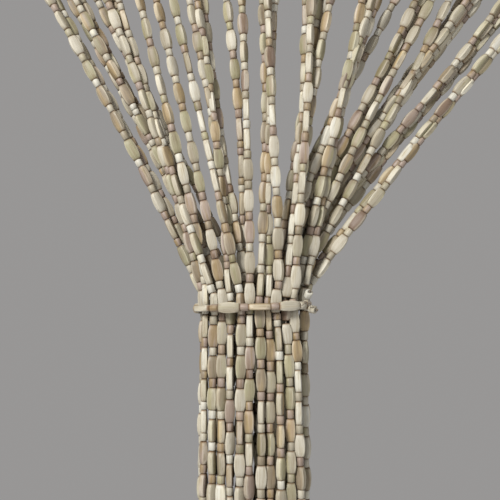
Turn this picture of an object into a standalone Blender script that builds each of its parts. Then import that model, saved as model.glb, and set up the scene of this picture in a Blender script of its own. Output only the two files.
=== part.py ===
"""Bead curtain: a wooden lath carries one row of strands, and a tie gathers them into a hanging bundle.

Metres, +Z up. The origin is the middle of the lath's top edge, and the front of the curtain faces -Y.
Heights called "above" are measured from the level of the tie.
"""

import math
from collections import namedtuple

import bmesh
import bpy
import numpy as np

# Whole curtain
DROP = 1.800
TIE_DROP = 0.630
BUNDLE_X = -0.0712

# Lath at the top edge
LATH_LENGTH = 0.900
LATH_THICK = 0.010
LATH_TALL = 0.028

# Strands
ROOT_PITCH = 0.0205
STRAND_SIDE = 0.0062
STRAND_PITCH_LEAST = 0.0077
ROOT_ABOVE = TIE_DROP - LATH_TALL
SIGHT_ABOVE = 0.268
BEND_LENGTH_LEFT = 0.015
BEND_LENGTH_RIGHT = 0.027
LEVELS_ABOVE = (0.500, 0.385, 0.268, 0.200, 0.150, 0.113, 0.087, 0.066, 0.048, 0.031, 0.017, 0.007,
                -0.007, -0.040, -0.110, -0.260, -0.480, -0.740, -1.000)
TIE_LEVELS = (0.007, -0.007)

# Bundle below the tie
WANDER = 0.0010
WANDER_HEIGHT = 0.31
WANDER_START = 0.15
WANDER_STEP_X = 2.4
WANDER_STEP_Y = 1.7
WANDER_RATIO = 0.8

# Parting of strands that run too close
PARTING_ROUNDS = 1600
SMOOTHING_ROUNDS = 400
PARTING_SHARE = 0.35

# Tie round the bundle
TIE_INNER_HALF_WIDE = 0.0512
TIE_INNER_HALF_DEEP = 0.0260
TIE_ROUNDNESS = 2.6
TIE_THICK = 0.0056
TIE_TALL = 0.0076
TIE_STATIONS = 36
TIE_TILT = math.radians(1.7)
TIE_CLEARANCE = 0.0010
FREE_END_LONG = 0.0048
FREE_END_TALL = 0.0085
FREE_END_LEAN = 0.0045

# Strands that fall together, from left to right. Places are in millimetres from the bundle's middle: where
# the first and last strand cross the sight line, and where they pass the tie, across and in depth (the
# viewer's side is negative).
Clump = namedtuple("Clump", "strands sight_first sight_last tie_first tie_last depth_first depth_last")
CLUMPS = (
    Clump(6, -186, -149, -45, -8, 7, 20),
    Clump(1, -138, -138, -47, -47, -2, -2),
    Clump(2, -127, -122, -30, -36, -3, -13),
    Clump(3, -104, -74, -42, -14, -10, -21),
    Clump(2, -62, -53, -17, -22, -10, -14),
    Clump(2, -44, -32, -8, -12, -13, -3),
    Clump(1, -9, -9, -4, -4, -21, -21),
    Clump(1, 9, 9, 6, 6, -21, -21),
    Clump(1, 16, 16, 29, 29, -22, -22),
    Clump(1, 22, 22, 15, 15, -19, -19),
    Clump(2, 48, 54, 36, 42, -16, -13),
    Clump(3, 61, 77, 21, 36, -10, -7),
    Clump(2, 99, 107, 38, 46, -2, -3),
    Clump(2, 112, 117, 20, 28, 1, 4),
    Clump(6, 142, 170, -3, 36, 7, 7),
    Clump(4, 190, 209, -3, 20, 14, 15),
    Clump(5, 226, 265, 14, 46, 23, 6),
)

# Colours
WOOD = (0.62, 0.52, 0.37, 1.0)
TIE_WOOD = (0.66, 0.56, 0.41, 1.0)


def wood_material(name, colour):
    """A plain unfinished wood."""
    material = bpy.data.materials.new(name)
    material.use_nodes = True
    shader = material.node_tree.nodes["Principled BSDF"]
    shader.inputs["Base Color"].default_value = colour
    shader.inputs["Roughness"].default_value = 0.55
    shader.inputs["Metallic"].default_value = 0.0
    return material


def object_from(bm, name, material):
    """A named object from the mesh, its faces outwards."""
    bmesh.ops.recalc_face_normals(bm, faces=bm.faces)
    mesh = bpy.data.meshes.new(name)
    bm.to_mesh(mesh)
    bm.free()
    mesh.materials.append(material)
    obj = bpy.data.objects.new(name, mesh)
    bpy.context.scene.collection.objects.link(obj)
    return obj


def spread(first, last, count):
    """Evenly spaced values from first to last, in metres."""
    return np.linspace(first, last, count) / 1000


def strand_stations():
    """Where each strand leaves the lath, crosses the sight line and passes the tie."""
    sight = np.concatenate([spread(c.sight_first, c.sight_last, c.strands) for c in CLUMPS])
    tie_x = np.concatenate([spread(c.tie_first, c.tie_last, c.strands) for c in CLUMPS])
    tie_y = np.concatenate([spread(c.depth_first, c.depth_last, c.strands) for c in CLUMPS])
    roots = (np.arange(len(sight)) - (len(sight) - 1) / 2) * ROOT_PITCH - BUNDLE_X
    return roots, sight, tie_x, tie_y


def bend(above, bend_length):
    """Height above the tie, less what a strand loses in turning from the bundle into the fan."""
    height = np.maximum(above, 0)
    return height**2 / (height + bend_length)


def strand_path(above, stations):
    """Across and depth positions of every strand at a height, or at one height for each strand."""
    roots, sight, tie_x, tie_y = stations
    bend_length = np.where(sight < tie_x, BEND_LENGTH_LEFT, BEND_LENGTH_RIGHT)
    at, at_sight, at_root = (bend(height, bend_length) for height in (above, SIGHT_ABOVE, ROOT_ABOVE))
    to_sight = (sight - tie_x) / at_sight
    to_root = (roots - tie_x) / at_root
    curve = (to_root - to_sight) / (at_root - at_sight)
    x = tie_x + at * (to_sight + curve * (at - at_sight))
    y = tie_y * (1 - at / at_root)
    below = np.clip(-np.asarray(above) / WANDER_START, 0, 1)
    number = np.arange(len(roots))
    turn = 2 * math.pi * above / WANDER_HEIGHT
    x = x + WANDER * below * np.sin(turn + WANDER_STEP_X * number)
    y = y + WANDER * below * np.cos(turn * WANDER_RATIO + WANDER_STEP_Y * number)
    return x, y


def strand_ends(stations):
    """Height of each lower end: all strands are cut to one length."""
    heights = np.linspace(ROOT_ABOVE, 0, 121)
    points = np.array([[*strand_path(h, stations), np.full(len(stations[0]), h)] for h in heights])
    fan_length = np.linalg.norm(np.diff(points, axis=0), axis=1).sum(axis=0)
    return fan_length - (DROP - LATH_TALL)


def keep_inside_tie(x, y):
    """Strands moved to where their squares clear the tie's inner wall."""
    corner_x = (np.abs(x) + STRAND_SIDE / 2) / (TIE_INNER_HALF_WIDE - TIE_CLEARANCE)
    corner_y = (np.abs(y) + STRAND_SIDE / 2) / (TIE_INNER_HALF_DEEP - TIE_CLEARANCE)
    out = (corner_x**TIE_ROUNDNESS + corner_y**TIE_ROUNDNESS) ** (1 / TIE_ROUNDNESS)
    scale = np.where(out > 1, out, 1)
    return x / scale, y / scale


def crossings(dx):
    """Pairs that pass each other between a level and the next one, marked at both levels."""
    passing = np.sign(dx[:-1]) != np.sign(dx[1:])
    marked = np.zeros(dx.shape, dtype=bool)
    marked[:-1] |= passing
    marked[1:] |= passing
    return marked


def part_strands(x, y, wide, tie_rows):
    """Strands pushed apart at each level until they clear each other, their paths kept smooth.

    Two strands that cross pass one in front of the other. All others part whichever way is shorter.
    """
    first_x, first_y = x.copy(), y.copy()
    itself = np.eye(x.shape[1], dtype=bool)
    need_x = (wide[:, :, None] + wide[:, None, :]) / 2 + STRAND_PITCH_LEAST - STRAND_SIDE
    at_tie = y[tie_rows[0]]
    ahead = np.sign(at_tie[:, None] - at_tie[None, :])
    for round_number in range(PARTING_ROUNDS):
        dx = x[:, :, None] - x[:, None, :]
        dy = y[:, :, None] - y[:, None, :]
        crossing = crossings(dx)
        over_x = need_x - np.abs(dx)
        over_y = STRAND_PITCH_LEAST - np.where(crossing, dy * ahead, np.abs(dy))
        close = (over_y > 0) & ((over_x > 0) | crossing) & ~itself
        sideways = close & (over_x <= over_y) & ~crossing
        endways = close & ~sideways
        x = x + PARTING_SHARE * (sideways * over_x * np.sign(dx)).sum(axis=2)
        y = y + PARTING_SHARE * (endways * over_y * np.where(crossing, ahead, np.sign(dy))).sum(axis=2)
        x[tie_rows], y[tie_rows] = keep_inside_tie(x[tie_rows], y[tie_rows])
        if round_number < SMOOTHING_ROUNDS:
            for now, first in ((x, first_x), (y, first_y)):
                moved = now - first
                moved[0] = 0
                moved[1:-1] = moved[1:-1] / 2 + (moved[:-2] + moved[2:]) / 4
                now[:] = first + moved
        x[0], y[0] = first_x[0], first_y[0]
    return x, y


def strand_rings():
    """Centre, half width and height of every strand at each level, as arrays of level by strand."""
    stations = strand_stations()
    count = len(stations[0])
    rows = [np.full(count, h) for h in (ROOT_ABOVE, *LEVELS_ABOVE)] + [strand_ends(stations)]
    above = np.array(rows)
    path = [strand_path(row, stations) for row in above]
    x = np.array([row[0] for row in path])
    y = np.array([row[1] for row in path])
    slope = np.gradient(x, axis=0) / np.gradient(above, axis=0)
    wide = STRAND_SIDE * np.sqrt(1 + slope**2)
    wide[0] = STRAND_SIDE
    tie_rows = [1 + LEVELS_ABOVE.index(h) for h in TIE_LEVELS]
    x, y = part_strands(x, y, wide, tie_rows)
    x[-1], y[-1] = x[-2], y[-2]
    return x + BUNDLE_X, y, wide / 2, above - TIE_DROP


def lath_with_root_faces(bm, roots):
    """The lath as a box whose underside is divided into one square face under each strand."""
    bmesh.ops.create_cube(bm, size=1)
    bmesh.ops.scale(bm, vec=(LATH_LENGTH, LATH_THICK, LATH_TALL), verts=bm.verts)
    bmesh.ops.translate(bm, vec=(0, 0, -LATH_TALL / 2), verts=bm.verts)
    half = STRAND_SIDE / 2
    cuts = [((root + side, 0, 0), (1, 0, 0)) for root in roots for side in (-half, half)]
    cuts += [((0, side, 0), (0, 1, 0)) for side in (-half, half)]
    for place, normal in cuts:
        everything = bm.verts[:] + bm.edges[:] + bm.faces[:]
        bmesh.ops.bisect_plane(bm, geom=everything, plane_co=place, plane_no=normal, dist=1e-6)
    faces = {}
    for face in bm.faces:
        centre = face.calc_center_median()
        if centre.z < -LATH_TALL + 1e-6 and abs(centre.y) < half:
            number = int(np.abs(roots - centre.x).argmin())
            if abs(roots[number] - centre.x) < half:
                faces[number] = face
    return [faces[number] for number in range(len(roots))]


def draw_out_strand(bm, face, rings):
    """A strand drawn down from its root face, ring by ring."""
    for x, y, half_wide, z in rings:
        face = bmesh.ops.extrude_discrete_faces(bm, faces=[face])["faces"][0]
        centre = face.calc_center_median()
        for corner in face.verts:
            side_x = math.copysign(half_wide, corner.co.x - centre.x)
            side_y = math.copysign(STRAND_SIDE / 2, corner.co.y - centre.y)
            corner.co = (x + side_x, y + side_y, z)


def make_curtain():
    """The lath and all its strands, one body."""
    x, y, half_wide, z = strand_rings()
    bm = bmesh.new()
    for number, face in enumerate(lath_with_root_faces(bm, x[0])):
        rings = zip(x[1:, number], y[1:, number], half_wide[1:, number], z[1:, number])
        draw_out_strand(bm, face, rings)
    return object_from(bm, "curtain", wood_material("curtain_wood", WOOD))


def tie_outline(offset):
    """Points round the tie at a distance outside its inner wall."""
    points = []
    for turn in np.linspace(0, 2 * math.pi, TIE_STATIONS, endpoint=False):
        cos, sin = math.cos(turn), math.sin(turn)
        x = math.copysign(abs(cos) ** (2 / TIE_ROUNDNESS), cos) * (TIE_INNER_HALF_WIDE + offset)
        y = math.copysign(abs(sin) ** (2 / TIE_ROUNDNESS), sin) * (TIE_INNER_HALF_DEEP + offset)
        points.append((x, y))
    return points


def make_tie():
    """The tie: a closed band round the bundle, with its two short free ends at the right."""
    bm = bmesh.new()
    corners = []
    for offset, side in ((0, -1), (TIE_THICK, -1), (TIE_THICK, 1), (0, 1)):
        loop = []
        for x, y in tie_outline(offset):
            z = x * math.tan(TIE_TILT) - TIE_DROP + side * TIE_TALL / 2
            loop.append(bm.verts.new((x + BUNDLE_X, y, z)))
        corners.append(loop)
    for ring, following in zip(corners, corners[1:] + corners[:1]):
        for n in range(TIE_STATIONS):
            after = (n + 1) % TIE_STATIONS
            bm.faces.new((ring[n], ring[after], following[after], following[n]))
    bmesh.ops.recalc_face_normals(bm, faces=bm.faces)
    draw_out_free_ends(bm)
    return object_from(bm, "tie", wood_material("tie_wood", TIE_WOOD))


def draw_out_free_ends(bm):
    """Two bead-long ends from the knot at the tie's front right: one points outwards, one up and forwards."""
    right = BUNDLE_X + TIE_INNER_HALF_WIDE
    at_right = [face for face in bm.faces if face.calc_center_median().x > right]
    outer = [face for face in at_right if face.normal.x > 0.7]
    upper = [face for face in at_right if face.normal.z > 0.7]
    for faces, reach in ((outer, (FREE_END_LONG, 0, 0)), (upper, (0, -FREE_END_LEAN, FREE_END_TALL))):
        knot = min(faces, key=lambda face: face.calc_center_median().y)
        drawn = bmesh.ops.extrude_discrete_faces(bm, faces=[knot])["faces"][0]
        bmesh.ops.translate(bm, vec=reach, verts=drawn.verts)


for leftover in list(bpy.data.objects):
    bpy.data.objects.remove(leftover)
make_curtain()
make_tie()
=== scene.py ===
"""A wooden bead curtain gathered by a beaded tie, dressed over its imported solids."""

import logging
import math
import random
from dataclasses import dataclass, field
from enum import Enum
from typing import NamedTuple

import bmesh
import bpy
import numpy as np
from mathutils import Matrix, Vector


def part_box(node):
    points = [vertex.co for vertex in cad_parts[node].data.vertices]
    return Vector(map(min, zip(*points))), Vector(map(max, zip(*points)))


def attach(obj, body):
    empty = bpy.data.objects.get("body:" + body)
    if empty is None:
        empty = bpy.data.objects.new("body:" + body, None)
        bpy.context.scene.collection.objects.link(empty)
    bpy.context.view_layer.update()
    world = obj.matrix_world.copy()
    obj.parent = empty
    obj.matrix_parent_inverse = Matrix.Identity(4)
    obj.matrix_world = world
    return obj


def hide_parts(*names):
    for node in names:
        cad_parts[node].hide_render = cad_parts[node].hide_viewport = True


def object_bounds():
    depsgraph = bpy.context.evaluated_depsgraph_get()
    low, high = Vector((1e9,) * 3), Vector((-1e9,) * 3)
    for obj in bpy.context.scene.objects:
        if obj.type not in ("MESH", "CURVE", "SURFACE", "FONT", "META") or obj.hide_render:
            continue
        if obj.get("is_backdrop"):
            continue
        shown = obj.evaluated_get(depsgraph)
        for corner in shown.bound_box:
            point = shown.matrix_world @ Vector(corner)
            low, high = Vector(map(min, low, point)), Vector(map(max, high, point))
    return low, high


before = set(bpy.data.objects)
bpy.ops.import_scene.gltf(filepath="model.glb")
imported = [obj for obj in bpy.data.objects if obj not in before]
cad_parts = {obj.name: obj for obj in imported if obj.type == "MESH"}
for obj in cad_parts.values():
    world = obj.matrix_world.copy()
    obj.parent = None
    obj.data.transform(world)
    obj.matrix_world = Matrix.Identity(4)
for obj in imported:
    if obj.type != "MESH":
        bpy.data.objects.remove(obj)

LOG = logging.getLogger("bead_curtain")

Node = bpy.types.Node
Socket = bpy.types.NodeSocket
Material = bpy.types.Material
Mesh = bpy.types.Mesh
Piece = bpy.types.Object
Triple = tuple[float, float, float]
Colour = Triple
Stops = tuple[tuple[float, Colour], ...]
Rings = list[list[Triple]]

BODY = "root"
WELD = 0.00002
RIGHTWARD = np.array((1.0, 0.0, 0.0))
UPWARD = np.array((0.0, 0.0, 1.0))

# Where the strands are gathered: the tie's height and the bundle's middle, beside the lath's middle.
TIE_HEIGHT = -0.630
BUNDLE_X = -0.0712
# The UV map that each piece's beads are laid out on for baking.
BAKE_MAP = "OFBake"
# The height between two points of a strand's route.
ROUTE_STEP = 0.002
# How far a slack strand leans in, as a share of its distance from the bundle.
SLACK = 0.07
# The fan's groups of strands: their columns on one row of the photograph, how far strands keep to them, and
# how far apart the fan's three layers are on that row.
GROUP_ROW = 60
GROUP_COLUMNS = (86, 108, 133, 151, 170, 186, 206, 242, 268, 311, 353, 393, 424, 462, 484, 507)
GATHER = 0.5
LAYER_APART = 0.0065
# The colour that leaves another one as it is when the two are multiplied.
UNCHANGED = (1.0, 1.0, 1.0)
# The palette of the bare wood, from its palest shade to its darkest.
WOOD_SHADES = (
    (0.00, (0.58, 0.57, 0.51)),
    (0.16, (0.465, 0.435, 0.36)),
    (0.34, (0.34, 0.305, 0.235)),
    (0.50, (0.29, 0.27, 0.165)),
    (0.62, (0.245, 0.20, 0.145)),
    (0.76, (0.345, 0.26, 0.14)),
    (0.88, (0.325, 0.26, 0.22)),
    (1.00, (0.16, 0.11, 0.078)),
)


class Tone(Enum):
    """The shades of the bare wood, as places along the palette."""

    WHITE = 0.04
    CREAM = 0.18
    BEIGE = 0.35
    OLIVE = 0.50
    TAN = 0.62
    OCHRE = 0.75
    PINK = 0.87
    BROWN = 0.97


class Turn(Enum):
    """How a flat bead is turned on its thread, in degrees from face on."""

    FACE = 4.0
    LEFT = 35.0
    RIGHT = -35.0
    EDGE = 87.0


class Kind(Enum):
    """The beads' forms."""

    LONG = 0
    SPACER = 1
    DRILLED = 2


WHITE, CREAM, BEIGE, OLIVE, TAN, OCHRE, PINK, BROWN = Tone
FACE, LEFT, RIGHT, EDGE = Turn

# How often each shade comes among the long beads and among the spacers.
LONG_MIX = {WHITE: 6, CREAM: 17, BEIGE: 24, OLIVE: 16, TAN: 14, OCHRE: 9, PINK: 10, BROWN: 4}
SPACER_MIX = {WHITE: 14, CREAM: 20, PINK: 38, TAN: 8, BEIGE: 20}
# The turn and shade of the beads at the tie's front, spacers and long ones in turn, and the others' shades.
TIE_FRONT = (
    (FACE, CREAM), (FACE, CREAM), (FACE, PINK), (EDGE, OCHRE),
    (FACE, PINK), (FACE, BEIGE), (FACE, PINK), (EDGE, CREAM),
)
TIE_TONES = (CREAM, BEIGE, OLIVE, TAN, OCHRE)

# Long beads that show in front, by the strand's number from the left: the row of the photograph at which a
# bead's middle stands, how the bead is turned and its shade.
MARKS = {
    0: ((122, RIGHT, TAN), (150, FACE, OLIVE)),
    1: ((102, FACE, BEIGE), (129, EDGE, WHITE), (156, FACE, PINK)),
    2: ((106, FACE, BEIGE), (134, RIGHT, PINK)),
    3: ((95, FACE, TAN), (125, LEFT, OLIVE), (156, FACE, OLIVE)),
    5: ((92, EDGE, CREAM), (121, FACE, CREAM), (151, EDGE, CREAM)),
    8: ((157, LEFT, OCHRE), (274, EDGE, CREAM), (336, FACE, PINK), (367, FACE, TAN)),
    9: ((114, RIGHT, OCHRE), (143, FACE, OLIVE), (174, FACE, CREAM), (265, EDGE, WHITE), (295, EDGE, WHITE),
        (326, EDGE, OLIVE), (359, EDGE, WHITE), (390, EDGE, OLIVE)),
    10: ((94, LEFT, OCHRE), (122, FACE, OLIVE), (153, FACE, BEIGE), (182, FACE, OLIVE), (211, FACE, PINK),
        (240, FACE, CREAM), (270, FACE, PINK), (300, FACE, CREAM), (333, FACE, BEIGE), (366, FACE, BEIGE),
        (399, LEFT, OLIVE)),
    11: ((92, FACE, WHITE), (122, EDGE, WHITE), (151, EDGE, CREAM), (181, EDGE, CREAM), (244, FACE, TAN),
        (335, FACE, BEIGE), (367, FACE, OLIVE), (400, FACE, CREAM)),
    12: ((98, EDGE, OCHRE), (127, FACE, TAN), (157, FACE, CREAM), (215, FACE, OLIVE), (273, FACE, OLIVE)),
    13: ((103, EDGE, WHITE), (132, FACE, OCHRE), (243, FACE, PINK), (281, EDGE, CREAM), (346, EDGE, CREAM),
        (378, EDGE, WHITE), (411, FACE, BROWN)),
    14: ((90, FACE, OLIVE), (119, FACE, PINK), (147, EDGE, CREAM), (175, EDGE, WHITE)),
    15: ((99, FACE, OCHRE), (130, EDGE, PINK), (204, EDGE, OCHRE), (236, EDGE, CREAM)),
    16: ((110, EDGE, WHITE), (140, EDGE, WHITE), (170, FACE, BEIGE), (201, FACE, CREAM), (232, FACE, PINK),
        (263, FACE, BEIGE), (294, FACE, CREAM), (326, EDGE, WHITE), (358, FACE, PINK), (390, FACE, OLIVE)),
    17: ((103, FACE, BEIGE), (133, FACE, TAN), (163, FACE, OCHRE), (193, LEFT, PINK), (223, FACE, TAN),
        (254, EDGE, CREAM), (285, EDGE, OLIVE), (317, FACE, TAN), (348, FACE, OLIVE), (380, FACE, TAN),
        (412, EDGE, CREAM)),
    18: ((116, EDGE, WHITE), (147, FACE, CREAM), (177, FACE, WHITE), (207, LEFT, OCHRE), (239, FACE, BEIGE),
        (270, RIGHT, CREAM), (301, FACE, CREAM), (339, EDGE, TAN), (372, EDGE, OLIVE)),
    19: ((164, FACE, OCHRE), (194, EDGE, CREAM), (225, FACE, CREAM), (255, FACE, OLIVE), (286, EDGE, WHITE),
        (319, EDGE, OCHRE), (350, FACE, OCHRE), (382, FACE, BEIGE), (412, FACE, BEIGE)),
    20: ((103, EDGE, WHITE), (134, LEFT, TAN), (164, FACE, WHITE), (194, EDGE, CREAM), (225, EDGE, WHITE),
        (255, EDGE, WHITE), (287, FACE, CREAM), (334, FACE, CREAM), (366, FACE, BEIGE), (398, RIGHT, OLIVE)),
    21: ((93, FACE, CREAM), (122, EDGE, CREAM), (153, FACE, PINK), (183, EDGE, CREAM), (215, FACE, WHITE),
        (246, FACE, BEIGE), (277, FACE, CREAM), (321, FACE, CREAM), (351, FACE, OCHRE), (381, EDGE, WHITE),
        (413, EDGE, WHITE)),
    25: ((99, EDGE, CREAM), (128, FACE, WHITE), (157, FACE, TAN), (187, RIGHT, OLIVE)),
    26: ((98, FACE, WHITE), (128, LEFT, OLIVE), (158, FACE, CREAM), (187, FACE, BEIGE), (246, FACE, CREAM),
        (275, EDGE, WHITE), (321, FACE, OCHRE), (352, EDGE, OLIVE), (385, FACE, BEIGE)),
    32: ((120, LEFT, CREAM),),
    43: ((198, FACE, BEIGE),),
}


class NodeSheet:
    """A node tree while it is built."""

    def __init__(self, tree: bpy.types.NodeTree) -> None:
        """Keeps the tree that the nodes go into."""
        self.tree = tree

    def feed(self, node: Node, inputs: dict) -> None:
        """Feeds a node's inputs.

        Args:
            node: the node.
            inputs: a socket or a plain value for each input, by name or number.
        """
        for key, value in inputs.items():
            named = (s for s in node.inputs if s.name == key and s.enabled)
            socket = next(named) if isinstance(key, str) else node.inputs[key]
            if isinstance(value, Socket):
                self.tree.links.new(value, socket)
            else:
                socket.default_value = value

    def node(self, kind: str, settings: dict | None = None, inputs: dict | None = None) -> Node:
        """Adds a node, sets its options and feeds its inputs.

        Args:
            kind: the node's type.
            settings: the node's options by name.
            inputs: what its inputs are fed, as for the method feed.

        Returns:
            The node.
        """
        made = self.tree.nodes.new(kind)
        for option, value in (settings or {}).items():
            setattr(made, option, value)
        self.feed(made, inputs or {})
        return made

    def math(self, operation: str, first: Socket | float, second: Socket | float = 0.0) -> Socket:
        """Works out one number from two."""
        return self.node("ShaderNodeMath", {"operation": operation}, {0: first, 1: second}).outputs[0]


class Shading(NodeSheet):
    """A material while it is built."""

    def __init__(self, name: str) -> None:
        """Starts the material with one shader.

        Args:
            name: the material's name.
        """
        self.material = bpy.data.materials.new(name)
        self.material.use_nodes = True
        super().__init__(self.material.node_tree)
        self.shader = self.tree.nodes["Principled BSDF"]

    def attribute(self, name: str, output: str) -> Socket:
        """Reads a piece's own attribute."""
        return self.node("ShaderNodeAttribute", {"attribute_name": name}).outputs[output]

    def spot(self) -> Socket:
        """Reads the place in the object."""
        return self.node("ShaderNodeTexCoord").outputs["Object"]

    def noise(self, spot: Socket, scale: Triple, detail: float) -> Socket:
        """Adds noise stretched by a scale for each axis.

        Args:
            spot: the socket that gives the place.
            scale: the number of blotches in a metre, along each axis.
            detail: how fine the noise goes.

        Returns:
            The socket with the noise, from 0 to 1.
        """
        spread = self.node("ShaderNodeMapping", inputs={"Vector": spot, "Scale": scale})
        inputs = {"Vector": spread.outputs[0], "Scale": 1.0, "Detail": detail}
        return self.node("ShaderNodeTexNoise", inputs=inputs).outputs["Fac"]

    def ramp(self, value: Socket, stops: Stops) -> Socket:
        """Gives a value its colour on a ramp.

        Args:
            value: the socket with the value.
            stops: pairs of a place from 0 to 1 and a colour.

        Returns:
            The socket with the colour.
        """
        made = self.node("ShaderNodeValToRGB", inputs={"Fac": value})
        band = made.color_ramp
        while len(band.elements) < len(stops):
            band.elements.new(0.5)
        for element, (place, colour) in zip(band.elements, stops):
            element.position = place
            element.color = (*colour, 1.0)
        return made.outputs["Color"]

    def mixed(self, base: Socket, tint: Socket | Colour, share: Socket | float,
              blend: str = "MULTIPLY") -> Socket:
        """Mixes a tint into a colour.

        Args:
            base: the socket with the colour.
            tint: the tint, or its socket.
            share: how much of the change is kept, or its socket.
            blend: how the two are mixed.

        Returns:
            The socket with the new colour.
        """
        second = tint if isinstance(tint, Socket) else (*tint, 1.0)
        inputs = {"Fac": share, "Color1": base, "Color2": second}
        return self.node("ShaderNodeMixRGB", {"blend_type": blend}, inputs).outputs["Color"]

    def mapped(self, value: Socket, wanted: tuple[float, float],
               given: tuple[float, float] = (0.0, 1.0)) -> Socket:
        """Maps one span of values onto another.

        Args:
            value: the socket with the value.
            wanted: the lowest and the highest result.
            given: the values that give them.

        Returns:
            The socket with the result.
        """
        ends = {"From Min": given[0], "From Max": given[1], "To Min": wanted[0], "To Max": wanted[1]}
        return self.node("ShaderNodeMapRange", inputs={"Value": value, **ends}).outputs[0]

    def finished(self, looks: dict, relief: Socket, strength: float, depth: float) -> Material:
        """Feeds the shader its looks and a fine relief.

        Args:
            looks: a socket or a plain value for each of the shader's inputs, by name.
            relief: the socket with the height of the relief.
            strength: how strongly the relief shows.
            depth: its depth in metres.

        Returns:
            The material.
        """
        bump = self.node("ShaderNodeBump", inputs={"Strength": strength, "Distance": depth, "Height": relief})
        self.feed(self.shader, {**looks, "Normal": bump.outputs["Normal"]})
        return self.material


@dataclass(frozen=True)
class WoodFinish:
    """Bare sanded wood, each bead with its own shade and grain.

    A bead's shade wanders by the streak, and its narrow sides are paler. The lines, clouds and specks are
    tints along the grain, which own_grain moves from bead to bead. Within end_reach the ends darken with
    painted shade where the beads meet, with some soiling. The scales are the numbers of blotches in a metre
    along each axis.
    """

    name: str
    shades: Stops = WOOD_SHADES
    roughness: float = 0.5
    streak: float = 0.10
    side_paler: float = 0.4
    sawn_side: Colour = (0.62, 0.58, 0.47)
    lines: Stops = ((0.30, (0.74, 0.68, 0.58)), (0.52, UNCHANGED), (0.75, (1.03, 1.02, 1.0)))
    clouds: Stops = ((0.32, (0.72, 0.68, 0.61)), (0.54, UNCHANGED), (0.70, (1.12, 1.10, 1.03)))
    specks: Stops = ((0.22, (0.66, 0.55, 0.42)), (0.36, UNCHANGED))
    # The colour of the ends: painted shade where the beads meet, with some soiling.
    joint_shade_and_soil: Colour = (0.42, 0.27, 0.17)
    end_reach: tuple[float, float] = (0.0085, 0.0101)
    own_grain: Triple = (0.71, 0.37, 1.93)
    broad_scale: Triple = (150.0, 150.0, 22.0)
    fine_scale: Triple = (1150.0, 1150.0, 60.0)
    speck_scale: Triple = (500.0, 500.0, 260.0)

    def material(self) -> Material:
        """Makes the wood's material, whose grain runs along each bead.

        Returns:
            The material, reading the attributes grain, tone and side.
        """
        made = Shading(self.name)
        grain = made.attribute("grain", "Vector")
        moved = {0: made.attribute("tone", "Color"), 1: self.own_grain, 2: grain}
        spot = made.node("ShaderNodeVectorMath", {"operation": "MULTIPLY_ADD"}, moved).outputs[0]
        broad = made.noise(spot, self.broad_scale, detail=2.0)
        fine = made.noise(spot, self.fine_scale, detail=3.0)
        speck = made.noise(spot, self.speck_scale, detail=2.0)

        wander = made.mapped(broad, (-self.streak, self.streak), given=(0.32, 0.68))
        tone = {0: made.attribute("tone", "Fac"), 1: wander}
        shade = made.ramp(made.node("ShaderNodeMath", {"use_clamp": True}, tone).outputs[0], self.shades)
        side = made.math("MULTIPLY", made.attribute("side", "Fac"), self.side_paler)
        shade = made.mixed(shade, self.sawn_side, side, blend="MIX")
        shade = made.mixed(shade, made.ramp(fine, self.lines), share=0.75)
        shade = made.mixed(shade, made.ramp(broad, self.clouds), share=1.0)
        shade = made.mixed(shade, made.ramp(speck, self.specks), share=0.6)
        height = made.node("ShaderNodeSeparateXYZ", inputs={0: grain}).outputs["Z"]
        # Painted shade where the beads meet, with some soiling: the ends darken within end_reach.
        end_shade_and_soil = made.mapped(made.math("ABSOLUTE", height), (0.0, 1.0), given=self.end_reach)
        looks = {
            "Base Color": made.mixed(shade, self.joint_shade_and_soil, end_shade_and_soil),
            "Roughness": made.mapped(fine, (self.roughness - 0.08, self.roughness + 0.14)),
            "Specular IOR Level": 0.42,
        }
        return made.finished(looks, fine, strength=0.35, depth=0.00025)


@dataclass(frozen=True)
class LathFinish:
    """Planed pale wood with its grain along the lath."""

    name: str = "planed_lath_wood"
    palest: Colour = (0.43, 0.36, 0.26)
    pale: Colour = (0.38, 0.305, 0.21)
    dark: Colour = (0.25, 0.18, 0.11)
    pore: Colour = (0.78, 0.72, 0.64)
    roughness: float = 0.55
    ring_scale: Triple = (5.0, 170.0, 120.0)
    pore_scale: Triple = (90.0, 1500.0, 1500.0)

    def material(self) -> Material:
        """Makes the lath's material from its place in the object.

        Returns:
            The material.
        """
        made = Shading(self.name)
        spot = made.spot()
        rings = made.noise(spot, self.ring_scale, detail=4.0)
        pores = made.noise(spot, self.pore_scale, detail=3.0)
        shade = made.ramp(rings, ((0.34, self.dark), (0.50, self.pale), (0.70, self.palest)))
        lines = made.ramp(pores, ((0.30, self.pore), (0.55, UNCHANGED)))
        looks = {
            "Base Color": made.mixed(shade, lines, share=0.8),
            "Roughness": made.mapped(pores, (self.roughness - 0.1, self.roughness + 0.15)),
        }
        return made.finished(looks, pores, strength=0.3, depth=0.0003)


@dataclass(frozen=True)
class ThreadFinish:
    """Twisted natural thread, with its plies seen as fine slanted lines."""

    name: str = "twisted_thread"
    pale: Colour = (0.33, 0.28, 0.21)
    middling: Colour = (0.19, 0.14, 0.095)
    dark: Colour = (0.05, 0.032, 0.022)
    slant: Triple = (0.6, 0.5, 0.0)
    ply_scale: float = 420.0
    unevenness: float = 1.5

    def material(self) -> Material:
        """Makes the thread's material from its place in the object.

        Returns:
            The material.
        """
        made = Shading(self.name)
        leant = made.node("ShaderNodeMapping", inputs={"Vector": made.spot(), "Rotation": self.slant})
        twist = {"Vector": leant.outputs[0], "Scale": self.ply_scale, "Distortion": self.unevenness}
        plies = made.node("ShaderNodeTexWave", {"bands_direction": "Z"}, twist).outputs["Fac"]
        shade = made.ramp(plies, ((0.1, self.dark), (0.6, self.middling), (1.0, self.pale)))
        looks = {"Base Color": shade, "Roughness": 0.85, "Sheen Weight": 0.25}
        return made.finished(looks, plies, strength=0.5, depth=0.0002)


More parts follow.
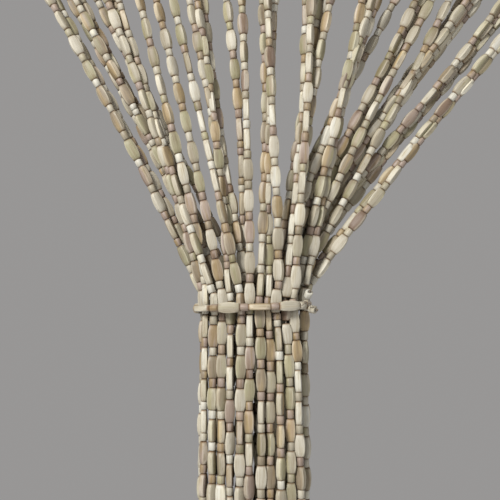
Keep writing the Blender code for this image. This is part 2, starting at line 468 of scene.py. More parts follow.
class Tree(NodeSheet):
    """A Geometry Nodes tree while it is built, with its named inputs."""

    def __init__(self, name: str) -> None:
        """Starts the tree with one geometry input and one output.

        Args:
            name: the tree's name.
        """
        super().__init__(bpy.data.node_groups.new(name, "GeometryNodeTree"))
        for way in ("INPUT", "OUTPUT"):
            self.tree.interface.new_socket("Geometry", in_out=way, socket_type="NodeSocketGeometry")
        self.start = self.tree.nodes.new("NodeGroupInput")
        self.end = self.tree.nodes.new("NodeGroupOutput")

    def asks(self, name: str, kind: str) -> Socket:
        """Adds a named input.

        Args:
            name: the input's name.
            kind: the socket's type, such as Float.

        Returns:
            The socket that gives the input inside the tree.
        """
        self.tree.interface.new_socket(name, in_out="INPUT", socket_type=f"NodeSocket{kind}")
        return self.start.outputs[name]

    def reads(self, name: str, kind: str) -> Socket:
        """Reads a named attribute of a data type such as FLOAT_VECTOR."""
        return self.node("GeometryNodeInputNamedAttribute", {"data_type": kind}, {"Name": name}).outputs[0]

    def random(self, low: Socket, high: Socket, seed: Socket) -> Socket:
        """Draws a number for each point.

        Args:
            low: the lowest number.
            high: the highest number.
            seed: the seed of the draws.

        Returns:
            The socket with the number.
        """
        inputs = {"Min": low, "Max": high, "Seed": seed}
        made = self.node("FunctionNodeRandomValue", {"data_type": "FLOAT"}, inputs)
        return next(s for s in made.outputs if s.type == "VALUE" and s.enabled)

    def ends_with(self, geometry: Socket, material: Socket) -> None:
        """Realizes the instances, gives them their material and closes the tree.

        Args:
            geometry: the instances.
            material: their material.
        """
        real = self.node("GeometryNodeRealizeInstances", inputs={0: geometry})
        inputs = {"Geometry": real.outputs[0], "Material": material}
        self.feed(self.end, {0: self.node("GeometryNodeSetMaterial", inputs=inputs).outputs[0]})

    def run_on(self, mesh: Mesh, name: str, values: dict) -> Piece:
        """Runs the tree on a mesh and keeps the result as a plain mesh.

        Args:
            mesh: the points or lines that the tree starts from.
            name: the finished piece's name.
            values: a value for each named input.

        Returns:
            The finished piece, at the origin.
        """
        guide = in_scene(f"{name}_guide", mesh)
        modifier = guide.modifiers.new(self.tree.name, "NODES")
        modifier.node_group = self.tree
        for item in self.tree.interface.items_tree:
            if item.in_out == "INPUT" and item.name in values:
                modifier[item.identifier] = values[item.name]
        settled = guide.evaluated_get(bpy.context.evaluated_depsgraph_get())
        result = bpy.data.meshes.new_from_object(settled)
        result.name = name
        bpy.data.objects.remove(guide)
        return in_scene(name, result)


def in_scene(name: str, data: bpy.types.ID) -> Piece:
    """Makes an object of a mesh, a light or a camera and places it in the scene.

    Args:
        name: the object's name.
        data: what it shows.

    Returns:
        The object, at the origin.
    """
    made = bpy.data.objects.new(name, data)
    bpy.context.scene.collection.objects.link(made)
    return made


def mesh_of(form: bmesh.types.BMesh, name: str, sharp: float | None = None) -> Mesh:
    """Turns a finished form into a mesh.

    Args:
        form: the form, which is freed.
        name: the mesh's name.
        sharp: the angle in degrees from which edges stay sharp. Without one, the faces are flat.

    Returns:
        The mesh.
    """
    mesh = bpy.data.meshes.new(name)
    form.to_mesh(mesh)
    form.free()
    if sharp is not None:
        mesh.shade_smooth()
        mesh.set_sharp_from_angle(angle=math.radians(sharp))
    return mesh


def turned(profile: tuple[tuple[float, float], ...], sides: int) -> Rings:
    """Turns a profile of heights and radii into rings of corners."""
    steps = [math.tau * i / sides for i in range(sides)]
    return [[(r * math.cos(a), r * math.sin(a), z) for a in steps] for z, r in profile]


@dataclass
class BeadForms:
    """The bead shapes: a flat barrel, a short round spacer, and the same spacer with its hole open.

    Sizes are in metres. The last four fields are shares of a bead's square of the bake map: its sides take
    the lower part, and its two caps lie side by side above them.
    """

    long_length: float = 0.0200
    long_width: float = 0.0094
    long_end_width: float = 0.0066
    long_thick: float = 0.0060
    long_end_thick: float = 0.0053
    end_cut: float = 0.00056
    face_edge: float = 0.0015
    side_edge: float = 0.0009
    side_depth: float = 0.00023
    ring_places: tuple[float, ...] = (-1.0, -0.93, -0.5, 0.0, 0.5, 0.93, 1.0)
    spacer_length: float = 0.0072
    spacer_width: float = 0.0068
    spacer_edge: float = 0.0007
    spacer_sides: int = 10
    drilled_sides: int = 16
    hole_width: float = 0.0024
    gap: float = 0.00025
    sharp: float = 48.0
    margin: float = 0.02
    sides_share: float = 0.8
    cap_share: float = 0.08
    cap_middles: tuple[tuple[float, float], ...] = ((0.10, 0.9), (0.30, 0.9))

    @property
    def pitch(self) -> float:
        """The length of string that one long bead and one spacer take."""
        return self.long_length + self.spacer_length + 2 * self.gap

    def long_rings(self) -> Rings:
        """Works out the long bead's rings, from its lower end up.

        Returns:
            Seven rings of eight corners each: a rectangle with cut corners.
        """
        rings = []
        for place in self.ring_places:
            fullness = 1.0 - place**2
            wide = (self.long_end_width + (self.long_width - self.long_end_width) * fullness) / 2
            thick = (self.long_end_thick + (self.long_thick - self.long_end_thick) * fullness) / 2
            if abs(place) == 1.0:
                wide -= self.end_cut
                thick -= self.end_cut
            inner = wide - self.face_edge
            level = thick - self.side_edge
            corners = [(inner, -thick), (wide, -level), (wide, level), (inner, thick)]
            corners += [(-x, -y) for x, y in corners]
            rings.append([(x, y, place * self.long_length / 2) for x, y in corners])
        return rings

    def spacer_rings(self) -> Rings:
        """Works out the spacer's rings, from its lower end up.

        Returns:
            Four rings: a cylinder with rounded rims.
        """
        half = self.spacer_length / 2
        outer = self.spacer_width / 2
        edge = self.spacer_edge
        profile = ((-half, outer - edge), (-half + edge, outer), (half - edge, outer), (half, outer - edge))
        return turned(profile, self.spacer_sides)

    def drilled_rings(self) -> Rings:
        """Works out the drilled spacer's rings, down its outside and up through its hole.

        Returns:
            Rings that close on themselves.
        """
        half = self.spacer_length / 2
        outer = self.spacer_width / 2
        hole = self.hole_width / 2
        edge = self.spacer_edge
        worn = 0.3 * edge
        profile = (
            (half, outer - edge), (half - worn, outer - worn), (half - edge, outer),
            (-half + edge, outer), (-half + worn, outer - worn), (-half, outer - edge),
            (-half, hole + edge / 2), (-half + edge / 2, hole),
            (half - edge / 2, hole), (half, hole + edge / 2),
        )
        return turned(profile, self.drilled_sides)

    def build(self, name: str, rings: Rings, closed: bool = True, flat: bool = False) -> Piece:
        """Joins rings into one closed bead with its bake map and its grain and side attributes.

        Args:
            name: the bead's name.
            rings: its rings of corners.
            closed: whether its ends are capped. If not, the last ring joins the first.
            flat: whether it has narrow sawn sides.

        Returns:
            The bead, which isn't placed in the scene.
        """
        form = bmesh.new()
        sheet = form.loops.layers.uv.new(BAKE_MAP)
        loops = [[form.verts.new(corner) for corner in ring] for ring in rings]
        if closed:
            reach = max(abs(x) for ring in rings for x, _, _ in ring)
            for middle, ring in zip(self.cap_middles, (list(reversed(loops[0])), loops[-1])):
                for corner in form.faces.new(ring).loops:
                    corner[sheet].uv = Vector(middle) + corner.vert.co.xy * self.cap_share / reach
        pairs = list(zip(loops, loops[1:] if closed else [*loops[1:], loops[0]]))
        across = 1.0 - 2 * self.margin
        for row, (low, high) in enumerate(pairs):
            for i, _ in enumerate(low):
                j = (i + 1) % len(low)
                made = form.faces.new((low[i], low[j], high[j], high[i]))
                steps = ((i, row), (i + 1, row), (i + 1, row + 1), (i, row + 1))
                for corner, (around, up) in zip(made.loops, steps):
                    spot = Vector((around / len(low), up / len(pairs) * self.sides_share))
                    corner[sheet].uv = spot * across + Vector((self.margin, self.margin))
        bmesh.ops.recalc_face_normals(form, faces=form.faces)
        mesh = mesh_of(form, name, self.sharp)
        corners = np.array([v.co for v in mesh.vertices])
        mesh.attributes.new("grain", "FLOAT_VECTOR", "POINT").data.foreach_set("vector", corners.ravel())
        widest = {round(z, 5): abs(corners[np.abs(corners[:, 2] - z) < WELD, 0]).max() for z in corners[:, 2]}
        at_side = [flat and abs(x) > widest[round(z, 5)] - self.side_depth for x, _, z in corners]
        side = mesh.attributes.new("side", "FLOAT", "POINT")
        side.data.foreach_set("value", np.array(at_side, dtype=float))
        return bpy.data.objects.new(name, mesh)


class Line:
    """A smooth route through points, measured by the length along it."""

    def __init__(self, points: np.ndarray) -> None:
        """Keeps the route's points and measures its length to each.

        Args:
            points: the points, close together, in metres.
        """
        self.points = points
        steps = np.linalg.norm(np.diff(points, axis=0), axis=1)
        self.run = np.concatenate([[0.0], np.cumsum(steps)])

    @property
    def length(self) -> float:
        """The whole length."""
        return float(self.run[-1])

    def place(self, along: float) -> np.ndarray:
        """Gives the point at a length along the route."""
        return np.array([np.interp(along, self.run, self.points[:, k]) for k in range(3)])

    def direction(self, along: float, reach: float) -> np.ndarray:
        """Gives the route's direction, as a unit vector, over a reach with its middle at a length."""
        span = self.place(along + reach / 2) - self.place(along - reach / 2)
        return span / np.linalg.norm(span)


def smooth_by_height(points: np.ndarray, step: float) -> np.ndarray:
    """Draws a smooth falling curve through points.

    Args:
        points: the points from the top down.
        step: the height between the points of the result.

    Returns:
        The curve's points.
    """
    heights = points[:, 2]
    slopes = np.gradient(points[:, :2], heights, axis=0)
    count = int((heights[0] - heights[-1]) / step) + 1
    wanted = np.linspace(heights[0], heights[-1], count)
    below = np.clip(np.searchsorted(-heights, -wanted, side="right"), 1, len(heights) - 1)
    above = below - 1
    span = heights[below] - heights[above]
    t = ((wanted - heights[above]) / span)[:, None]
    span = span[:, None]
    curve = (
        (2 * t**3 - 3 * t**2 + 1) * points[above, :2]
        + (t**3 - 2 * t**2 + t) * span * slopes[above]
        + (3 * t**2 - 2 * t**3) * points[below, :2]
        + (t**3 - t**2) * span * slopes[below]
    )
    return np.column_stack([curve, wanted])


def fan_reach(heights: np.ndarray, top: float) -> np.ndarray:
    """Says how free each height of a strand is, from none at the lath and below the tie to 1 between them."""
    fallen = np.clip((top - heights) / (top - TIE_HEIGHT), 0.0, 1.0)
    return np.sin(math.pi * fallen**3)


def strand_lines() -> tuple[list[Line], float]:
    """Reads the strands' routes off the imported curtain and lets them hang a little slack.

    Returns:
        The routes from left to right, each from the lath down, and the height of the lath's underside.
    """
    solid = bmesh.new()
    solid.from_mesh(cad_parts["curtain"].data)
    bmesh.ops.remove_doubles(solid, verts=solid.verts, dist=WELD)
    heights = sorted({round(v.co.z, 4) for v in solid.verts}, reverse=True)
    underside = heights[1]
    hanging = {v for v in solid.verts if v.co.z < underside - WELD}
    lines = []
    while hanging:
        group = grown_from(hanging.pop(), hanging)
        rings: dict[float, list[Vector]] = {}
        for vertex in group:
            rings.setdefault(round(vertex.co.z, 4), []).append(vertex.co)
        first = max(rings)
        roots = {e.other_vert(v) for v in group if round(v.co.z, 4) == first for e in v.link_edges}
        rings[underside] = [v.co for v in roots if abs(v.co.z - underside) < WELD]
        levels = sorted((z for z in rings if len(rings[z]) >= 4), reverse=True)
        middles = [sum(rings[z], Vector()) / len(rings[z]) for z in levels]
        points = smooth_by_height(np.array(middles), ROUTE_STEP)
        points[:, 0] -= SLACK * fan_reach(points[:, 2], underside) * (points[:, 0] - BUNDLE_X)
        lines.append(Line(points))
    solid.free()
    return sorted(lines, key=lambda line: line.points[0, 0]), underside


def grown_from(seed: bmesh.types.BMVert, others: set) -> list[bmesh.types.BMVert]:
    """Gathers the vertices joined to one, and takes them out of a set.

    Args:
        seed: the first vertex.
        others: the vertices that may be gathered.

    Returns:
        The gathered vertices, the first one among them.
    """
    group = [seed]
    for vertex in group:
        for edge in vertex.link_edges:
            other = edge.other_vert(vertex)
            if other in others:
                others.remove(other)
                group.append(other)
    return group


class Bead(NamedTuple):
    """One strung bead: its middle, the directions of its length and width, its turn in radians, and looks."""

    place: np.ndarray
    along: np.ndarray
    across: np.ndarray
    twist: float
    length: float
    kind: int
    tone: float


@dataclass
class Stringing:
    """Strings beads and knots: the Geometry Nodes trees and what they need."""

    forms: BeadForms = field(default_factory=BeadForms)
    size_spread: float = 0.05
    lean: float = 0.02

    def __post_init__(self) -> None:
        """Makes the bead shapes and the trees."""
        self.shapes = {
            "Long bead": self.forms.build("long_bead", self.forms.long_rings(), flat=True),
            "Spacer": self.forms.build("spacer_bead", self.forms.spacer_rings()),
            "Drilled spacer": self.forms.build("drilled_bead", self.forms.drilled_rings(), closed=False),
        }
        self.bead_tree = self.make_bead_tree()
        self.thread_tree = self.make_thread_tree()

    def make_bead_tree(self) -> Tree:
        """Builds the tree that sets a bead on each point.

        Returns:
            The tree, which asks for the beads, their lengths, how far they lean and vary in size, and a seed.
        """
        tree = Tree("string_beads")
        shapes = [tree.asks(name, "Object") for name in self.shapes]
        long_length = tree.asks("Long bead length", "Float")
        spacer_length = tree.asks("Spacer length", "Float")
        spread = tree.asks("Size spread", "Float")
        lean = tree.asks("Lean", "Float")
        seed = tree.asks("Seed", "Int")
        wood = tree.asks("Wood", "Material")

        upright = tree.node(
            "FunctionNodeAxesToRotation",
            {"primary_axis": "Z", "secondary_axis": "X"},
            {0: tree.reads("along", "FLOAT_VECTOR"), 1: tree.reads("across", "FLOAT_VECTOR")},
        )
        other_way = tree.math("MULTIPLY", lean, -1.0)
        leans = [tree.random(other_way, lean, tree.math("ADD", seed, shift)) for shift in (11.0, 23.0)]
        angles = {0: leans[0], 1: leans[1], 2: tree.reads("twist", "FLOAT")}
        turn = tree.node("ShaderNodeCombineXYZ", inputs=angles)
        spun = tree.node("FunctionNodeEulerToRotation", inputs={0: turn.outputs[0]})
        both = {0: upright.outputs[0], 1: spun.outputs[0]}
        rotation = tree.node("FunctionNodeRotateRotation", {"rotation_space": "LOCAL"}, both).outputs[0]

        least = tree.math("SUBTRACT", 1.0, spread)
        most = tree.math("ADD", 1.0, spread)
        wide, deep = [tree.random(least, most, tree.math("ADD", seed, shift)) for shift in (37.0, 41.0)]
        length = tree.reads("length", "FLOAT")
        form = tree.reads("kind", "INT")
        strung = tree.node("GeometryNodeJoinGeometry")
        lengths = (long_length, spacer_length, spacer_length)
        for kind, shape, nominal, depth in zip(Kind, shapes, lengths, (deep, wide, wide)):
            same = {"A": form, "B": kind.value}
            wanted = tree.node("FunctionNodeCompare", {"data_type": "INT", "operation": "EQUAL"}, same)
            stretch = tree.math("DIVIDE", length, nominal)
            scale = tree.node("ShaderNodeCombineXYZ", inputs={0: wide, 1: depth, 2: stretch})
            bead = tree.node("GeometryNodeObjectInfo", inputs={"Object": shape})
            inputs = {
                "Points": tree.start.outputs["Geometry"],
                "Selection": wanted.outputs[0],
                "Instance": bead.outputs["Geometry"],
                "Rotation": rotation,
                "Scale": scale.outputs[0],
            }
            placed = tree.node("GeometryNodeInstanceOnPoints", inputs=inputs)
            tree.feed(strung, {0: placed.outputs[0]})
        tree.ends_with(strung.outputs[0], wood)
        return tree

    def make_thread_tree(self) -> Tree:
        """Builds the tree that lays thread along lines.

        Returns:
            The tree, which asks for the thread's thickness, its sides and its material.
        """
        tree = Tree("run_thread")
        thick = tree.asks("Thread thickness", "Float")
        sides = tree.asks("Thread sides", "Int")
        thread = tree.asks("Thread", "Material")
        curve = tree.node("GeometryNodeMeshToCurve", inputs={0: tree.start.outputs["Geometry"]})
        round_form = {"Resolution": sides, "Radius": tree.math("DIVIDE", thick, 2.0)}
        ring = tree.node("GeometryNodeCurvePrimitiveCircle", {"mode": "RADIUS"}, round_form)
        along = {"Curve": curve.outputs[0], "Profile Curve": ring.outputs[0], "Fill Caps": True}
        tree.ends_with(tree.node("GeometryNodeCurveToMesh", inputs=along).outputs[0], thread)
        return tree

    def string(self, beads: list[Bead], name: str, wood: Material, seed: int) -> Piece:
        """Strings beads into one piece.

        Args:
            beads: every bead of the piece.
            name: the piece's name.
            wood: its material.
            seed: the seed for the spread of sizes.

        Returns:
            The piece.
        """
        mesh = bpy.data.meshes.new(f"{name}_points")
        mesh.from_pydata([tuple(b.place) for b in beads], [], [])
        rows = math.ceil(math.sqrt(len(beads)))
        cells = [(k % rows / rows, k // rows / rows, 1 / rows) for k in range(len(beads))]
        columns = {key: [getattr(b, key) for b in beads] for key in Bead._fields} | {"cell": cells}
        for key, kind, slot in (
            ("along", "FLOAT_VECTOR", "vector"), ("across", "FLOAT_VECTOR", "vector"),
            ("twist", "FLOAT", "value"), ("length", "FLOAT", "value"), ("kind", "INT", "value"),
            ("tone", "FLOAT", "value"), ("cell", "FLOAT_VECTOR", "vector"),
        ):
            mesh.attributes.new(key, kind, "POINT").data.foreach_set(slot, np.array(columns[key]).ravel())
        values = {
            **self.shapes,
            "Long bead length": self.forms.long_length,
            "Spacer length": self.forms.spacer_length,
            "Size spread": self.size_spread,
            "Lean": self.lean,
            "Seed": seed,
            "Wood": wood,
        }
        made = self.bead_tree.run_on(mesh, name, values)
        lay_out(made.data)
        return made

    def thread(self, lines: list[np.ndarray], name: str, thick: float, material: Material,
               sides: int = 6) -> Piece:
        """Lays thread along lines, as one piece.

        Args:
            lines: the points of each line.
            name: the piece's name.
            thick: the thread's thickness.
            material: its material.
            sides: the number of its sides.

        Returns:
            The piece.
        """
        places: list[tuple] = []
        edges: list[tuple[int, int]] = []
        for line in lines:
            first = len(places)
            places.extend(tuple(p) for p in line)
            edges.extend((i, i + 1) for i in range(first, len(places) - 1))
        mesh = bpy.data.meshes.new(f"{name}_lines")
        mesh.from_pydata(places, edges, [])
        values = {"Thread thickness": thick, "Thread sides": sides, "Thread": material}
        return self.thread_tree.run_on(mesh, name, values)


def lay_out(mesh: Mesh) -> None:
    """Moves each bead's part of the bake map into the bead's own cell of it.

    Args:
        mesh: the strung beads, with the attribute cell, which is used up.
    """
    sheet = mesh.uv_layers[BAKE_MAP].uv
    spots = np.empty(len(sheet) * 2, dtype=np.float32)
    sheet.foreach_get("vector", spots)
    corners = np.empty(len(mesh.loops), dtype=np.int32)
    mesh.loops.foreach_get("vertex_index", corners)
    cells = np.empty(len(mesh.vertices) * 3, dtype=np.float32)
    mesh.attributes["cell"].data.foreach_get("vector", cells)
    cells = cells.reshape(-1, 3)[corners]
    spots = spots.reshape(-1, 2) * cells[:, 2:] + cells[:, :2]
    mesh.uv_layers[BAKE_MAP].uv.foreach_set("vector", spots.ravel())
    mesh.attributes.remove(mesh.attributes["cell"])


def overhand_loop() -> np.ndarray:
    """Draws the loop of an overhand knot, three units from its middle to its edge."""
    turns = np.linspace(0.0, math.tau * 0.94, 26)
    return np.column_stack([
        np.sin(turns) + 2 * np.sin(2 * turns),
        -np.sin(3 * turns) * 1.4,
        np.cos(turns) - 2 * np.cos(2 * turns),
    ])


@dataclass(frozen=True)
class ViewPoint:
    """The photograph's view, from in front of the tie, a little to the left of it and above it."""

    x: float = BUNDLE_X - 0.0037
    y: float = -0.60
    z: float = TIE_HEIGHT + 0.0041
    pitch: float = math.radians(4.6)
    lens: float = 46.8
    sensor: float = 36.0
    rows: int = 500

    @property
    def focal(self) -> float:
        """The lens's length in the photograph's own rows."""
        return self.rows * self.lens / self.sensor

    def depth(self, y: np.ndarray | float, z: np.ndarray | float) -> np.ndarray | float:
        """Gives how far ahead of the camera a place is."""
        return (y - self.y) * math.cos(self.pitch) + (z - self.z) * math.sin(self.pitch)

    def reach_of_row(self, line: Line, row: float) -> float:
        """Gives the length along a falling route at which it passes a row of the photograph.

        Args:
            line: the route.
            row: the row, from the top.

        Returns:
            The length along the route.
        """
        ahead = line.points[:, 1] - self.y
        up = line.points[:, 2] - self.z
        height = up * math.cos(self.pitch) - ahead * math.sin(self.pitch)
        rows = self.rows / 2 - self.focal * height / self.depth(line.points[:, 1], line.points[:, 2])
        return float(np.interp(row, rows, line.run))

    def gathered(self, line: Line, top: float, layer: int) -> Line:
        """Draws a strand of the fan towards the nearest of the groups that the photograph shows.

        Args:
            line: the strand's route.
            top: the height that it hangs from.
            layer: how many layers it lies behind the fan's middle one.

        Returns:
            The route, unchanged at the lath, at the tie and below.
        """
        spot = line.place(self.reach_of_row(line, GROUP_ROW))
        depth = self.depth(spot[1], spot[2])
        column = self.rows / 2 + self.focal * (spot[0] - self.x) / depth
        nearest = min(GROUP_COLUMNS, key=lambda group: abs(group - column))
        heights = np.append(line.points[:, 2], spot[2])
        reach = fan_reach(heights, top) * np.clip(heights - TIE_HEIGHT, 0.0, None)
        share = reach[:-1] / reach[-1]
        points = line.points.copy()
        points[:, 0] += GATHER * (nearest - column) * depth / self.focal * share
        points[:, 1] += layer * LAYER_APART * share
        return Line(points)


@dataclass
class Curtain:
    """The hanging strands, with their beads, threads and end knots.

    Where the marks ask for it, long beads are squeezed to the share shortest or stretched to the share
    longest, and spacers to spacer_stretch. The spreads say how far things vary from bead to bead.
    """

    stringing: Stringing
    view: ViewPoint
    wood: Material
    thread: Material
    pieces: int = 4
    seed: int = 7
    thread_thick: float = 0.0012
    thread_step: float = 0.012
    knot_size: float = 0.0015
    knot_draw: float = 0.42
    knot_drop: float = 1.4
    tail: float = 0.005
    top_gap: float = 0.001
    shortest: float = 0.93
    longest: float = 1.07
    spacer_stretch: float = 1.25
    length_spread: float = 0.015
    pitch_spread: float = 0.01
    tone_spread: float = 0.035
    turn_spread: float = 6.0

    def __post_init__(self) -> None:
        """Starts the random draws."""
        self.draw = random.Random(self.seed)

    def build(self, lines: list[Line]) -> list[Piece]:
        """Builds the strands' pieces.

        Args:
            lines: the strands' routes, from left to right.

        Returns:
            The pieces: beads in several sets, threads, and knots.
        """
        strung = [self.beads_on(line, i) for i, line in enumerate(lines)]
        made = []
        share = math.ceil(len(lines) / self.pieces)
        for k in range(self.pieces):
            beads = [b for strand in strung[k * share : (k + 1) * share] for b in strand]
            made.append(self.stringing.string(beads, f"strand_beads_{k + 1}", self.wood, self.seed + k))
        lows = [strand[-1].place - strand[-1].along * strand[-1].length / 2 for strand in strung]
        step = round(self.thread_step / ROUTE_STEP)
        routes = [line.points[line.points[:, 2] > low[2]][::step] for line, low in zip(lines, lows)]
        made.append(self.stringing.thread(routes, "strand_threads", self.thread_thick, self.thread, sides=5))
        knots = [self.knot(low) for low in lows]
        made.append(self.stringing.thread(knots, "strand_end_knots", self.thread_thick, self.thread))
        return made

    def beads_on(self, line: Line, index: int) -> list[Bead]:
        """Works out one strand's beads from the lath down.

        Args:
            line: the strand's route.
            index: the strand's number from the left.

        Returns:
            The beads.
        """
        forms = self.stringing.forms
        end = line.length - self.tail - 4 * self.knot_size
        marks = {self.view.reach_of_row(line, row): looks for row, *looks in MARKS.get(index, ())}
        middles = self.long_middles(sorted(marks), end)
        steps = np.diff(middles)
        stretches = (np.append(steps, steps[-1]) + np.append(steps[0], steps)) / (2 * forms.pitch)
        beads = []
        reached = 0.0
        for middle, stretch in zip(middles, stretches):
            length = forms.long_length * min(max(stretch, self.shortest), self.longest)
            length *= self.near_one(self.length_spread)
            room = middle - length / 2 - forms.gap - reached
            count = round(room / (forms.spacer_length + forms.gap))
            for k in range(count):
                short = min(room / count - forms.gap, self.spacer_stretch * forms.spacer_length)
                tone = self.draw.choices(list(SPACER_MIX), SPACER_MIX.values())[0]
                twist = self.draw.uniform(0.0, math.tau)
                at = reached + (k + 0.5) * room / count
                beads.append(self.bead(line, at, short, Kind.SPACER, twist, tone))
            turn = self.draw.uniform(0.0, 180.0)
            tone = self.draw.choices(list(LONG_MIX), LONG_MIX.values())[0]
            if middle in marks:
                shown, tone = marks[middle]
                turn = shown.value + self.draw.uniform(-self.turn_spread, self.turn_spread)
            beads.append(self.bead(line, middle, length, Kind.LONG, math.radians(turn), tone))
            reached = middle + length / 2
        last = reached + forms.gap + forms.spacer_length / 2
        beads.append(self.bead(line, last, forms.spacer_length, Kind.DRILLED, 0.0, BEIGE))
        return beads

    def near_one(self, spread: float) -> float:
        """Draws a factor near 1."""
        return self.draw.uniform(1.0 - spread, 1.0 + spread)

    def long_middles(self, marked: list[float], end: float) -> list[float]:
        """Spaces the long beads' middles along a strand, through the marked ones.

        Args:
            marked: the lengths along the strand of the marked beads, from the top.
            end: the length at which the last bead has to be over.

        Returns:
            The middles' lengths along the strand, from the top.
        """
        forms = self.stringing.forms
        half = forms.long_length / 2
        highest = self.top_gap + half
        extras = (0.0, forms.spacer_length + forms.gap)
        if not marked:
            start = highest + self.draw.choice(extras)
            count = int((end - start) / forms.pitch)
            marked = [start + forms.pitch * (count // 2) * self.near_one(self.pitch_spread)]
        first = marked[0]
        options = []
        for extra in extras:
            span = first - highest - extra
            count = max(round(span / forms.pitch), 1)
            options.append((abs(span / count - forms.pitch), extra, count))
        _, extra, count = min(options)
        start = highest + extra
        middles = [start + (first - start) * k / count for k in range(count)]
        for low, high in zip(marked, marked[1:]):
            steps = max(round((high - low) / forms.pitch), 1)
            middles += [low + (high - low) * k / steps for k in range(steps)]
        middles.append(marked[-1])
        while middles[-1] + forms.pitch + half + forms.spacer_length < end:
            middles.append(middles[-1] + forms.pitch * self.near_one(self.pitch_spread))
        return middles

    def bead(self, line: Line, at: float, length: float, kind: Kind, twist: float, tone: Tone) -> Bead:
        """Places one bead on a strand.

        Args:
            line: the strand's route.
            at: the length along the strand at the bead's middle.
            length: the bead's length.
            kind: the bead's form.
            twist: its turn round the thread, in radians.
            tone: its shade, which varies a little.

        Returns:
            The bead.
        """
        along = -line.direction(at, length)
        shade = tone.value + self.draw.uniform(-self.tone_spread, self.tone_spread)
        return Bead(line.place(at), along, RIGHTWARD, twist, length, kind.value, shade)

    def knot(self, under: np.ndarray) -> np.ndarray:
        """Draws the overhand knot under a strand's last bead.

        Args:
            under: the middle of the last bead's lower end.

        Returns:
            The points of the knotted thread, from inside the bead to its cut end.
        """
        middle = under - self.knot_drop * self.knot_size * UPWARD
        loop = middle + overhand_loop() * self.knot_size * self.knot_draw
        return np.vstack([under + self.knot_size * UPWARD, loop, middle - self.tail * UPWARD])


@dataclass
class Lath:
    """The planed lath that the strands hang from."""

    wood: Material
    thick: float = 0.010
    edge: float = 0.0012
    sharp: float = 40.0

    def build(self, underside: float) -> Piece:
        """Builds the lath with rounded edges.

        Args:
            underside: the height of the lath's underside.

        Returns:
            The lath.
        """
        low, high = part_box("curtain")
        form = bmesh.new()
        bmesh.ops.create_cube(form, size=1.0)
        for vertex in form.verts:
            vertex.co.x = low.x if vertex.co.x < 0 else high.x
            vertex.co.y = math.copysign(self.thick / 2, vertex.co.y)
            vertex.co.z = underside if vertex.co.z < 0 else high.z
        bmesh.ops.bevel(form, geom=form.edges[:], offset=self.edge, segments=3, profile=0.6, affect="EDGES")
        mesh = mesh_of(form, "lath", self.sharp)
        mesh.materials.append(self.wood)
        return in_scene("lath", mesh)


